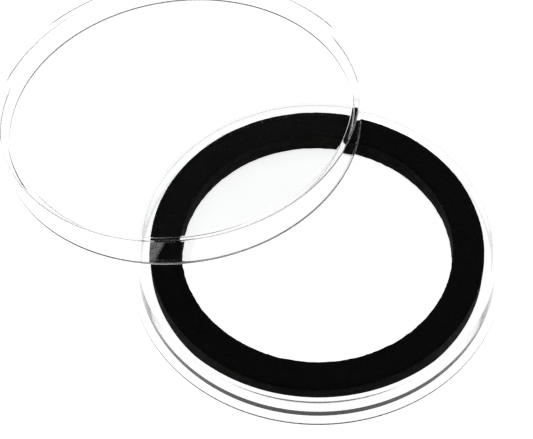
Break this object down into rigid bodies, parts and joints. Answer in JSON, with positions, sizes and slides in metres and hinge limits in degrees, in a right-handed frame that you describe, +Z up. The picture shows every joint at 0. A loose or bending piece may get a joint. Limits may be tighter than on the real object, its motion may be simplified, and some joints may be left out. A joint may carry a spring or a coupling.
{
  "type": "coin capsule",
  "caption": "Clear round coin capsule, shown open: a base holding a black foam ring for a 36 mm coin, and a lid that leans on it.",
  "frame": {"origin": "centre of the base's underside", "axes": "+Z up along the base's axis, out of its mouth; the lid leans towards -X and +Y"},
  "size_m": [0.0685, 0.072, 0.0103],
  "materials": {
    "clear_acrylic": "gloss",
    "black_foam": "matte"
  },
  "bodies": {
    "base": {"base_shell": "clear_acrylic"},
    "ring": {"foam_ring": "black_foam"},
    "lid": {"lid_shell": "clear_acrylic"}
  },
  "joints": [
    {"name": "ring_lift", "type": "slide", "parent": "base", "child": "ring", "axis": [0, 0, 1], "range_m": [0, 0.012]},
    {"name": "lid_lift", "type": "slide", "parent": "ring", "child": "lid", "axis": [0, 0, 1], "range_m": [0, 0.045]}
  ]
}
